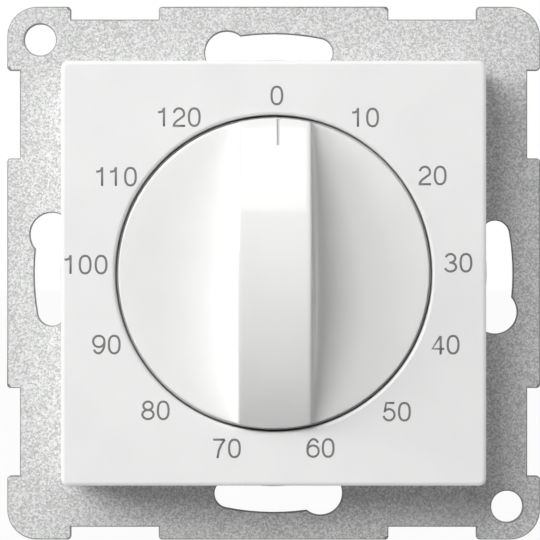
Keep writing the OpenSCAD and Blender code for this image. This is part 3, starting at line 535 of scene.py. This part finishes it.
combine(cover, round_bar("collar", collar_r, collar_foot, cover_face - cover_face_t / 2), "UNION")
for turn in range(nose_count):
    nose = block("nose", nose_size, (collar_r + nose_out, 0, nose_top - nose_size[2] / 2))
    nose.rotation_euler.z = turn * 2 * pi / nose_count
    combine(cover, nose, "UNION")
opening = round_bar("opening", opening_r, cover_foot - overshoot, cover_face + overshoot,
                    opening_steps)
combine(cover, opening, "DIFFERENCE")
edit(cover, "EDGE")
rim = pick(cover, "edges", lambda edge: all(
    near(end.co.z, cover_face) and near(end.co.xy.length, opening_r) for end in edge.verts))
bpy.ops.mesh.bevel(offset=opening_edge_r, segments=opening_edge_steps, affect="EDGES")
close_edit()
smooth(cover)
stand_up(cover)
dress(cover, "white_cover", "support", "cover_plate")
print("opening edge:", rim, "edges")

# %% [markdown]
# ## The numbers
# The scale is printed in a light, plain face: strokes of one width. Each figure is a few lines and
# arcs in a box that is one high. Drawn as curves with a round section, they keep their width round
# every bend, and they are then made a mesh and pressed almost flat.

# %% The figures' strokes
def arc(x, y, across, tall, start, end, steps=14):
    """Points along an ellipse's arc, from one angle to another."""
    turns = [radians(start + (end - start) * step / steps) for step in range(steps + 1)]
    return [(x + across * cos(turn), y + tall * sin(turn)) for turn in turns]


def oval(x, y, across, tall, square=2.4, steps=32):
    """Points round an oval whose sides are a little straighter than an ellipse's."""
    points = []
    for step in range(steps + 1):
        turn = 2 * pi * step / steps
        side = abs(cos(turn)) ** (2 / square) * (1 if cos(turn) > 0 else -1)
        rise = abs(sin(turn)) ** (2 / square) * (1 if sin(turn) > 0 else -1)
        points.append((x + across * side, y + tall * rise))
    return points


SIX = [oval(0.31, 0.32, 0.32, 0.32, 2.1),
       arc(0.32, 0.72, 0.27, 0.28, 14, 100) + arc(0.34, 0.42, 0.35, 0.58, 105, 184)]
FIGURES = {
    "0": [oval(0.3, 0.5, 0.305, 0.5)],
    "1": [[(0.31, -0.03), (0.31, 1.04)],
          [(0.30, 1.0), (0.27, 0.89), (0.20, 0.82), (0.10, 0.79), (-0.03, 0.785)]],
    "2": [arc(0.3, 0.70, 0.29, 0.30, 172, -28) + [(0.40, 0.44), (0.16, 0.27), (0.04, 0.14), (0, 0)],
          [(-0.06, 0), (0.65, 0)]],
    "3": [arc(0.29, 0.755, 0.27, 0.245, 168, -90) + [(0.21, 0.51)],
          arc(0.29, 0.255, 0.32, 0.255, 90, -168)],
    "4": [[(0.46, -0.06), (0.46, 1)], [(0.45, 0.99), (-0.02, 0.26), (0.66, 0.26)]],
    "5": [[(0.60, 1), (0.13, 1), (0.04, 0.47)], arc(0.29, 0.325, 0.32, 0.325, 142, -168)],
    "6": SIX,
    "7": [[(-0.05, 1), (0.62, 1)], [(0.62, 0.99), (0.41, 0.70), (0.28, 0.38), (0.20, -0.06)]],
    "8": [oval(0.3, 0.76, 0.265, 0.24, 2), oval(0.3, 0.26, 0.32, 0.26, 2)],
    "9": [[(0.6 - x, 1 - y) for x, y in stroke] for stroke in SIX],
}
print(len(FIGURES), "figures")

# %% [markdown]
# Each number stands upright at its place round the knob. The places are those of the numbers'
# middles in millimetres, given one by one, because the printer moves the wide numbers out a little so
# that all keep the same distance from the knob. Some pairs of figures stand closer than others.

# %% The numbers' sizes and places
figure_h = 2.26 * MM
figure_pitch = 1.97 * MM
pair_pitch = {"11": 1.78 * MM, "10": 1.91 * MM, "00": 2.06 * MM}
NUMBER_PLACES = {
    "0": (0.40, 23.0), "10": (11.8, 20.15), "20": (20.48, 12.65), "30": (23.86, 1.36),
    "40": (22.2, -9.24), "50": (15.9, -17.91), "60": (6.05, -22.6), "70": (-6.12, -22.65),
    "80": (-15.3, -17.73), "90": (-21.65, -9.22), "100": (-24.35, 1.12), "110": (-20.41, 12.5),
    "120": (-12.28, 20.2),
}
print("figures:", round(figure_h / MM, 2), "mm high")

# %% [markdown]
# All numbers are strokes of one curve. A stroke that ends where it starts, as in a zero, is closed
# into a loop without the last point, or its two end caps would lie inside each other.

# %% Draw the strokes
stroke_w = 0.29 * MM
weld_gap = 0.002 * MM


def number_strokes(number):
    """The strokes of a number whose first figure starts at 0 and whose middle height is 0."""
    strokes = []
    start = 0
    for place, figure in enumerate(number):
        strokes += [[(start + x * figure_h, (y - 0.5) * figure_h) for x, y in stroke]
                    for stroke in FIGURES[figure]]
        start += pair_pitch.get(number[place:place + 2], figure_pitch)
    return strokes


def add_stroke(curve, stroke, right, up):
    """Adds a stroke, moved right and up, to the curve."""
    (first_x, first_y), (last_x, last_y) = stroke[0], stroke[-1]
    spline = curve.splines.new("POLY")
    if hypot(first_x - last_x, first_y - last_y) < weld_gap:
        spline.use_cyclic_u = True
        stroke = stroke[:-1]
    spline.points.add(len(stroke) - 1)
    for point, (x, y) in zip(spline.points, stroke):
        point.co = (x + right, y + up, 0, 1)


path = bpy.data.curves.new("scale_numbers", "CURVE")
path.dimensions = "3D"
path.bevel_depth = stroke_w / 2
path.bevel_resolution = 2
path.use_fill_caps = True
for number, (centre_x, centre_y) in NUMBER_PLACES.items():
    strokes = number_strokes(number)
    spans = [x for stroke in strokes for x, _ in stroke]
    shift = centre_x * MM - (min(spans) + max(spans)) / 2
    for stroke in strokes:
        add_stroke(path, stroke, shift, centre_y * MM)
print(len(path.splines), "strokes")

# %% [markdown]
# The mesh of the strokes is welded, so that every tube is one closed skin, and scaled in height
# until the print stands out by a hundredth of a millimetre, as a layer of ink does.

# %% Press the print flat
print_proud = 0.012 * MM

numbers = bpy.data.objects.new("scale_numbers", path)
bpy.context.scene.collection.objects.link(numbers)
select_only(numbers)
bpy.ops.object.convert(target="MESH")
numbers = bpy.context.object
edit(numbers, "VERT")
bpy.ops.mesh.select_all(action="SELECT")
bpy.ops.mesh.remove_doubles(threshold=weld_gap)
bpy.ops.mesh.normals_make_consistent(inside=False)
close_edit()
numbers.scale.z = print_proud / (stroke_w / 2)
numbers.location.z = cover_face
stand_up(numbers)
print(len(NUMBER_PLACES), "numbers printed")

# %% [markdown]
# The ink is grey and a little duller than the plastic round it. The record has no slot of its own
# for it, so the numbers take the cover's slot first and the ink goes on after that.

# %% Grey ink
scale_ink = plastic("scale_ink", (0.145, 0.145, 0.145), (0.165, 0.165, 0.165), (0.38, 0.5),
                    0.2 * MM, 0.001 * MM)
dress(numbers, "white_cover", "support")
numbers.data.materials[0] = scale_ink

# %% [markdown]
# ## The knob
# A grip bar runs right across the round disc. Its back is arched like a bow and ends just above the
# cover's face. Its flanks fall steeply and run out in a long, shallow foot, and the disc on each
# side is dished. Such a surface is easiest to give as a height over a round plan: a grid is laid
# out with its columns on the bar's edges and the flanks' curve, and each row follows the outline.

# %% The knob's measures
knob_top, knob_foot = levels("knob")
grip_half_middle = 4.78 * MM
grip_half_end = 4.77 * MM
grip_shift = 0.08 * MM
grip_end = cover_face + 0.9 * MM
grip_edge_r = 0.38 * MM
flank_foot = 15 * MM
flank_power = 9
end_taper = 0.08 * MM
rim_edge_r = 0.13 * MM
dish = 1.1 * MM
sag = knob_top - grip_end
arch_r = (knob_r ** 2 + sag ** 2) / (2 * sag)


def arch(y):
    """Height of the bar's back at a distance from the middle."""
    return knob_top - arch_r + sqrt(arch_r ** 2 - y ** 2)


def dished_floor(x, y):
    """Height of the disc beside the bar."""
    return cover_face - dish * (1 - (x * x + y * y) / knob_r ** 2) ** 2


print("bar arch radius:", round(arch_r / MM, 2), "mm")

# %% [markdown]
# Columns and rows lie close together where the surface bends: at the bar's edges, high on the
# flanks and at the rim. A column is told by its kind and by how far across that kind it lies.
# On the disc that is an angle, which packs the columns towards the rim.

# %% Columns and rows of the grid
BAR_SHARES = (0, 0.35, 0.7, 0.9)
EDGE_SHARES = (0, 0.25, 0.5, 0.75, 1)
RIM_COLUMN_SHARES = (0.7, 0.4, 0.15, 0.01)
RIM_ROW_SHARES = (0, 0.1, 0.3, 0.6, 1)
flank_steps, disc_steps, row_steps = 26, 16, 32


def columns():
    """(kind, share) of each column on one side, from the middle of the bar out to the rim."""
    bar = [("bar", share) for share in BAR_SHARES]
    edge = [("edge", share) for share in EDGE_SHARES]
    flank = [("flank", step / flank_steps) for step in range(1, flank_steps + 1)]
    start, end = asin(flank_foot / knob_r), asin(1 - rim_edge_r / knob_r)
    disc = [("disc", start + (end - start) * step / disc_steps) for step in range(1, disc_steps + 1)]
    rim = [("disc", asin(1 - rim_edge_r / knob_r * share)) for share in RIM_COLUMN_SHARES]
    return bar + edge + flank + disc + rim


one_side = columns()
all_columns = [(kind, share, -1) for kind, share in reversed(one_side[1:])]
all_columns += [(kind, share, 1) for kind, share in one_side]
rim_rows = [1 - rim_edge_r / knob_r * share for share in RIM_ROW_SHARES]
half_rows = [step / row_steps * rim_rows[-1] for step in range(row_steps)] + rim_rows[::-1]
all_rows = [-row for row in half_rows[:0:-1]] + half_rows
print("grid:", len(all_columns), "columns and", len(all_rows), "rows")

# %% [markdown]
# Each crossing of a column and a row gets its place. The bar's width depends on the place along
# the bar, and that place on the width, because the rows follow the round outline. So the two are
# worked out in turn, and a few rounds settle them.

# %% The place of a grid point
settle_rounds = 4


def bar_point(kind, share, row, reach):
    """A point on the bar's back, its rounded edge or its flank."""
    y = row * knob_r
    turn = share * pi / 2
    inward = sin((1 - share) * pi / 2)
    for _ in range(settle_rounds):
        half = grip_half_middle + (grip_half_end - grip_half_middle) * (y / knob_r) ** 2
        if kind == "bar":
            x = share * (half - grip_edge_r)
        elif kind == "edge":
            x = half - grip_edge_r + grip_edge_r * sin(turn)
        else:
            x = flank_foot - (flank_foot - half) * inward
        y = row * sqrt(reach ** 2 - x ** 2)
    if kind == "bar":
        return x, y, arch(y)
    if kind == "edge":
        return x, y, arch(y) - grip_edge_r * (1 - cos(turn))
    floor, top = dished_floor(x, y), arch(y) - grip_edge_r
    return x, y, floor + (top - floor) * (1 - (1 - inward ** flank_power) ** (1 / flank_power))


def knob_point(kind, share, side, row):
    """A point of the knob's face: its column, its side and its row from -1 to 1 along the bar."""
    if kind == "disc":
        follow, reach = 0, knob_r
        x = knob_r * sin(share)
        y = row * sqrt(knob_r ** 2 - x ** 2)
        z = dished_floor(x, y)
    else:
        follow = 1 - share if kind == "flank" else 1
        reach = knob_r - end_taper * follow
        x, y, z = bar_point(kind, share, row, reach)
    from_rim = reach - sqrt(x * x + y * y)
    if from_rim < rim_edge_r:
        z -= rim_edge_r - sqrt(max(rim_edge_r ** 2 - (rim_edge_r - from_rim) ** 2, 0))
    return side * x + grip_shift * follow, y, z


print("disc's middle:", round(dished_floor(0, 0) / MM, 2), "mm from the wall")

# %% [markdown]
# The grid starts as Blender's own grid primitive with that many columns and rows, and its points
# are moved to their places. Its outer edge is extruded down to make the rim, out to a narrow
# flange that closes the view into the housing, and down to the foot, where it is closed. That
# gives a solid that can be hollowed out.

# %% Shape the knob
flange_level = cover_face - 1.7 * MM
flange_r = knob_r + 0.33 * MM


def extrude_down_to(level):
    """Extrudes the chosen outline and flattens its new edge at a level."""
    bpy.ops.mesh.extrude_region_move(TRANSFORM_OT_translate={"value": (0, 0, -MM)})
    bpy.ops.transform.resize(value=(1, 1, 0), center_override=(0, 0, level))


bpy.ops.object.select_all(action="DESELECT")
bpy.ops.mesh.primitive_grid_add(x_subdivisions=len(all_columns) - 1,
                                y_subdivisions=len(all_rows) - 1, size=2 * knob_r)
knob = named("knob_body")
order = sorted(knob.data.vertices, key=lambda point: (round(point.co.y, 7), round(point.co.x, 7)))
for index, point in enumerate(order):
    kind, share, side = all_columns[index % len(all_columns)]
    point.co = knob_point(kind, share, side, all_rows[index // len(all_columns)])
edit(knob, "EDGE")
pick(knob, "edges", lambda edge: edge.is_boundary)
extrude_down_to(flange_level)
bpy.ops.mesh.extrude_region_move(TRANSFORM_OT_translate={"value": (0, 0, 0)})
bpy.ops.transform.resize(value=(flange_r / knob_r, flange_r / knob_r, 1), center_override=(0, 0, 0))
extrude_down_to(knob_foot)
bpy.ops.mesh.edge_face_add()
bpy.ops.mesh.select_all(action="SELECT")
bpy.ops.mesh.normals_make_consistent(inside=False)
close_edit()
print("knob skin:", len(knob.data.polygons), "faces")

# %% [markdown]
# Underneath, the knob is a shell with a hub for the spindle and a rib that meets the stop post. The
# hollow is one cutting tool: a drum with the hub and the rib left out.

# %% Hollow the knob
knob_wall = 1.8 * MM
knob_under = cover_face - knob_wall
hub_r = 5 * MM
spindle_r = 2.5 * MM
spindle_in = 5 * MM
stop_from, stop_to = 9.8 * MM, 12.2 * MM
stop_span = radians(14)
stop_lift = 0.4 * MM
hub_steps = 64

hollow = round_bar("hollow", knob_r - knob_wall, knob_foot - overshoot, knob_under)
hub = round_bar("hub", hub_r, knob_foot, knob_under + overshoot, hub_steps)
combine(hollow, hub, "DIFFERENCE")
rib = block("rib", (2 * stop_to * sin(stop_span / 2), stop_to - stop_from, knob_under - knob_foot),
            (0, (stop_from + stop_to) / 2, (knob_under + knob_foot) / 2 + stop_lift))
combine(hollow, rib, "DIFFERENCE")
combine(knob, hollow, "DIFFERENCE")
bore = round_bar("bore", spindle_r, knob_foot - overshoot, knob_under + spindle_in, hub_steps)
combine(knob, bore, "DIFFERENCE")
print("hollow knob:", len(knob.data.polygons), "faces")

# %% [markdown]
# A short line in the top end of the bar points at the scale. It is a shallow groove whose faces
# are coloured light grey. The cutter is a thin block that leans with the arch, so the groove has an
# even depth.
# The groove's faces are noted while the knob still lies flat, where their place is easy to tell.

# %% Engrave the index line
index_w = 0.36 * MM
index_l = 3.45 * MM
index_depth = 0.18 * MM
index_shift = 0.57 * MM
index_middle = knob_r - 1.95 * MM
tool_h = 2 * MM
knob_smooth_angle = 34

lean = asin(index_middle / arch_r)
index_tool = block("index_tool", (index_w, index_l / cos(lean), tool_h),
                   (0, 0, tool_h / 2 - index_depth))
index_tool.rotation_euler.x = -lean
index_tool.location = (index_shift, index_middle, arch(index_middle))
combine(knob, index_tool, "DIFFERENCE")
groove = [face.index for face in knob.data.polygons
          if abs(face.center.x - index_shift) < index_w / 2 + TINY
          and abs(face.center.y - index_middle) < index_l / 2 + index_depth
          and face.center.z < arch(face.center.y) - index_depth / 3]
smooth(knob, knob_smooth_angle)
stand_up(knob)
dress(knob, "white_knob", "knob", "knob")
# The groove's faces get a light grey colour.
index_groove_grey = plastic("index_groove_grey", (0.58, 0.58, 0.58), (0.62, 0.62, 0.62), (0.4, 0.5),
                      0.3 * MM, 0.001 * MM)
knob.data.materials.append(index_groove_grey)
for index in groove:
    knob.data.polygons[index].material_index = 1
print("index line:", len(groove), "painted faces")

# %% [markdown]
# ## The support ring
# The CAD part has the ring's outline right, so the ring starts as a copy of it. The ring is
# stamped from sheet, so the tabs beside the notches have small radii.

# %% Copy the ring and round its tabs
ring_front, ring_back = levels("support_ring")
ring_half = width("support_ring") / 2
notch_near, notch_far = 15.3 * MM, 27 * MM
tab_corner_r = 0.45 * MM
tab_corner_steps = 6
ring_weld = 0.001 * MM

ring = frame["nodes"]["support_ring"].copy()
ring.data = ring.data.copy()
ring.parent = None
for key in [key for key in ring.keys() if key.startswith("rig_")]:
    del ring[key]
bpy.context.scene.collection.objects.link(ring)
ring.name = ring.data.name = "ring_sheet"


def tab_corner(edge):
    """Whether an edge runs through the sheet where a notch meets the ring's outline."""
    one, two = (end.co for end in edge.verts)
    if abs(one.x - two.x) > TINY or abs(one.z - two.z) > TINY:
        return False
    places = sorted((abs(one.x), abs(one.z)))
    return near(places[1], ring_half) and (near(places[0], notch_near) or near(places[0], notch_far))


edit(ring, "VERT")
bpy.ops.mesh.select_all(action="SELECT")
bpy.ops.mesh.remove_doubles(threshold=ring_weld)
bpy.ops.mesh.select_mode(type="EDGE")
tabs = pick(ring, "edges", tab_corner)
bpy.ops.mesh.bevel(offset=tab_corner_r, segments=tab_corner_steps, affect="EDGES")
print(tabs, "tab corners rounded")

# %% [markdown]
# Stamping also rounds the sheet's outer and inner edges a little. A bevel would catch on the long
# thin triangles of its faces. Instead the front and the back are pushed in a little and inset back
# out in steps: each step moves every edge inwards and up, which leaves a rounded edge. The faces
# are picked by their level, because a very thin triangle has no sure normal.

# %% Soften the ring's edges
stamped_edge_r = 0.14 * MM
stamped_edge_steps = 3

bpy.ops.mesh.select_mode(type="FACE")
for side, level in ((-1, -ring_front), (1, -ring_back)):
    pick(ring, "faces", lambda face: all(near(corner.co.y, level) for corner in face.verts))
    bpy.ops.transform.translate(value=(0, -side * stamped_edge_r, 0))
    for step in range(stamped_edge_steps):
        start, end = (pi / 2 * turn / stamped_edge_steps for turn in (step, step + 1))
        bpy.ops.mesh.inset(thickness=stamped_edge_r * (cos(start) - cos(end)),
                           depth=stamped_edge_r * (sin(end) - sin(start)))
close_edit()
smooth(ring)
dress(ring, "zinc_steel", "support", "support_ring")

# %% [markdown]
# The cut edges are bare, so they are darker than the plated faces, and their dark grey is also
# painted shade along the sheet's edges. A face belongs to them when it doesn't look straight to the
# front or the back.

# %% Darker cut edges and painted edge shade
straight_enough = 0.98

# Dark grey for the bare cut edges, which also paints the shade along the sheet's edges.
bare_edge_and_shade = plastic("bare_edge_and_painted_shade", (0.2, 0.2, 0.2), (0.3, 0.3, 0.3), (0.5, 0.6),
                    0.2 * MM, 0.004 * MM)
ring.data.materials.append(bare_edge_and_shade)
for face in ring.data.polygons:
    face.material_index = int(abs(face.normal.y) < straight_enough)
print(sum(face.material_index for face in ring.data.polygons), "faces of cut edge")

# %% [markdown]
# ## Floor, light and background
# The switch stands on the lower edge of its ring on a pale floor. For shadows and bounced light the
# floor is grey. Where the camera sees it, directly or in a mirror or through glass, nearly all of
# it is white light, so that it melts into the background.

# %% Floor
floor_size, floor_back = 6, 1.2
floor_grey = 0.34
floor_rough = 0.9
floor_white = 0.96


def seen_directly(tree, share):
    """A share for rays that come from the camera, a mirror or glass, and 0 for all others."""
    rays = tree.nodes.new("ShaderNodeLightPath").outputs
    first = calculate(tree, "MAXIMUM", rays["Is Camera Ray"], rays["Is Glossy Ray"])
    any_of = calculate(tree, "MAXIMUM", first, rays["Is Transmission Ray"])
    return calculate(tree, "MULTIPLY", any_of, share)


floor_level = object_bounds()[0][2]
bpy.ops.object.select_all(action="DESELECT")
bpy.ops.mesh.primitive_plane_add(size=floor_size, location=(0, floor_back, floor_level))
ground = named("studio_floor")
floor_paint = bpy.data.materials.new("floor_paint")
floor_paint.use_nodes = True
tree = floor_paint.node_tree
matt = tree.nodes["Principled BSDF"]
matt.inputs["Base Color"].default_value = (floor_grey, floor_grey, floor_grey, 1)
matt.inputs["Roughness"].default_value = floor_rough
glow = tree.nodes.new("ShaderNodeEmission")
mix = tree.nodes.new("ShaderNodeMixShader")
tree.links.new(seen_directly(tree, floor_white), mix.inputs["Fac"])
tree.links.new(matt.outputs["BSDF"], mix.inputs[1])
tree.links.new(glow.outputs["Emission"], mix.inputs[2])
tree.links.new(mix.outputs["Shader"], tree.nodes["Material Output"].inputs["Surface"])
ground.data.materials.append(floor_paint)
print("floor at", round(floor_level / MM, 2), "mm")

# %% [markdown]
# The background works in the same way: white where the camera looks, and nearly dark for all other
# rays, so that the lamps alone shape the switch.

# %% Background
ambient_colour = (0.95, 0.97, 1.0, 1)
ambient_strength = 0.02

world = bpy.data.worlds.new("studio")
world.use_nodes = True
tree = world.node_tree
ambient = tree.nodes["Background"]
ambient.inputs["Color"].default_value = ambient_colour
ambient.inputs["Strength"].default_value = ambient_strength
backdrop = tree.nodes.new("ShaderNodeBackground")
backdrop.inputs["Color"].default_value = (1, 1, 1, 1)
mix = tree.nodes.new("ShaderNodeMixShader")
tree.links.new(seen_directly(tree, 1.0), mix.inputs["Fac"])
tree.links.new(ambient.outputs["Background"], mix.inputs[1])
tree.links.new(backdrop.outputs["Background"], mix.inputs[2])
tree.links.new(mix.outputs["Shader"], tree.nodes["World Output"].inputs["Surface"])
bpy.context.scene.world = world
bpy.context.scene.view_settings.view_transform = "Standard"
print("background:", world.name)

# %% [markdown]
# Two soft lamps on the left, one high and one in front, give the cover its bright edges and the ring
# its soft shadow. A weak one on the right opens the dark side. A narrow strip above the camera is
# mirrored in the upper end of the grip bar, and a lamp behind lights the views from the back.

# %% Soft lamps
def soft_lamp(name, place, size, power):
    """A lamp that looks at the switch: its place, width and height in metres, its power in watts."""
    bpy.ops.object.light_add(type="AREA", location=place)
    lamp = bpy.context.object
    lamp.name = name
    lamp.data.shape = "RECTANGLE"
    lamp.data.size, lamp.data.size_y = size
    lamp.data.energy = power
    lamp.rotation_euler = (-Vector(place)).to_track_quat("-Z", "Y").to_euler()
    print(name, power, "W")


soft_lamp("high_lamp", (-0.92, -0.41, 0.42), (0.55, 0.55), 7.9)
soft_lamp("front_lamp", (-0.47, -0.88, 0.47), (0.6, 0.6), 7.4)
soft_lamp("side_lamp", (1.02, -0.32, 0.1), (0.55, 0.55), 1.9)
soft_lamp("top_strip", (-0.02, -0.534, 0.604), (0.14, 0.6), 0.78)
soft_lamp("back_lamp", (0.5, 0.95, 0.6), (0.55, 0.55), 5)

# %% [markdown]
# ## The camera
# The picture is a straight front view from about a third of a metre. The lens follows from two
# sizes in the picture: how many pixels a millimetre takes on the ring and on the cover, which is
# nearer. The camera stands slightly to the left of the middle and above it.

# %% Camera
image_side = 540
ring_px_per_mm = 7.506
camera_distance = 345 * MM
camera_left, camera_up = 0.48 * MM, 0.42 * MM
sensor_w = 36.0
clip_near = 10 * MM

focal_px = ring_px_per_mm * camera_distance / MM
bpy.ops.object.camera_add(location=(-camera_left, -(ring_front + camera_distance), camera_up),
                          rotation=(pi / 2, 0, 0))
camera = bpy.context.object
camera.name = "front_camera"
camera.data.sensor_width = sensor_w
camera.data.lens = focal_px / image_side * sensor_w
camera.data.clip_start = clip_near
bpy.context.scene.camera = camera
print("lens:", round(camera.data.lens, 1), "mm")
